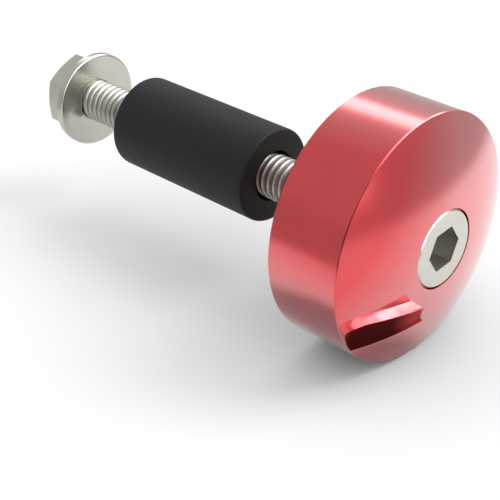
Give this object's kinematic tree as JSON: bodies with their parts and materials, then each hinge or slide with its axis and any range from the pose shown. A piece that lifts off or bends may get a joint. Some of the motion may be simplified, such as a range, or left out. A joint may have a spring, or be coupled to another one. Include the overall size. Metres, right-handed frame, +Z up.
{
  "type": "bar end weight",
  "caption": "Round domed bar end weight for a motorcycle handlebar, with its cap screw, rubber expanding sleeve and flange nut.",
  "frame": {"origin": "on the bar's axis, in the plane of the weight's back face, which meets the end of the bar", "axes": "+X out of the bar end along its axis, towards the domed face; +Z up with the fin's crest level; +Y completes the right-handed frame"},
  "size_m": [0.0684, 0.032, 0.032],
  "materials": {
    "red_anodised": "glossy red anodised, turned",
    "screw_steel": "satin stainless",
    "black_rubber": "matt moulded rubber",
    "nut_steel": "satin zinc plated"
  },
  "bodies": {
    "weight": {"weight": "red_anodised"},
    "screw": {"cap_screw": "screw_steel"},
    "sleeve": {"rubber_sleeve": "black_rubber"},
    "nut": {"flange_nut": "nut_steel"}
  },
  "joints": [
    {"name": "screw_turn", "type": "hinge", "parent": "weight", "child": "screw", "pos_m": [0, 0, 0], "axis": [-1, 0, 0], "range_deg": [0, 8550]},
    {"name": "nut_travel", "type": "slide", "parent": "weight", "child": "nut", "axis": [1, 0, 0], "range_m": [0, 0.0238]},
    {"name": "sleeve_slide", "type": "slide", "parent": "weight", "child": "sleeve", "axis": [1, 0, 0], "range_m": [0, 0.01335]}
  ],
  "couplings": [
    {"joint": "nut_travel", "follows": "screw_turn", "m_per_rad": 0.00015915},
    {"joint": "sleeve_slide", "follows": "screw_turn", "m_per_rad": 0.000089294}
  ]
}
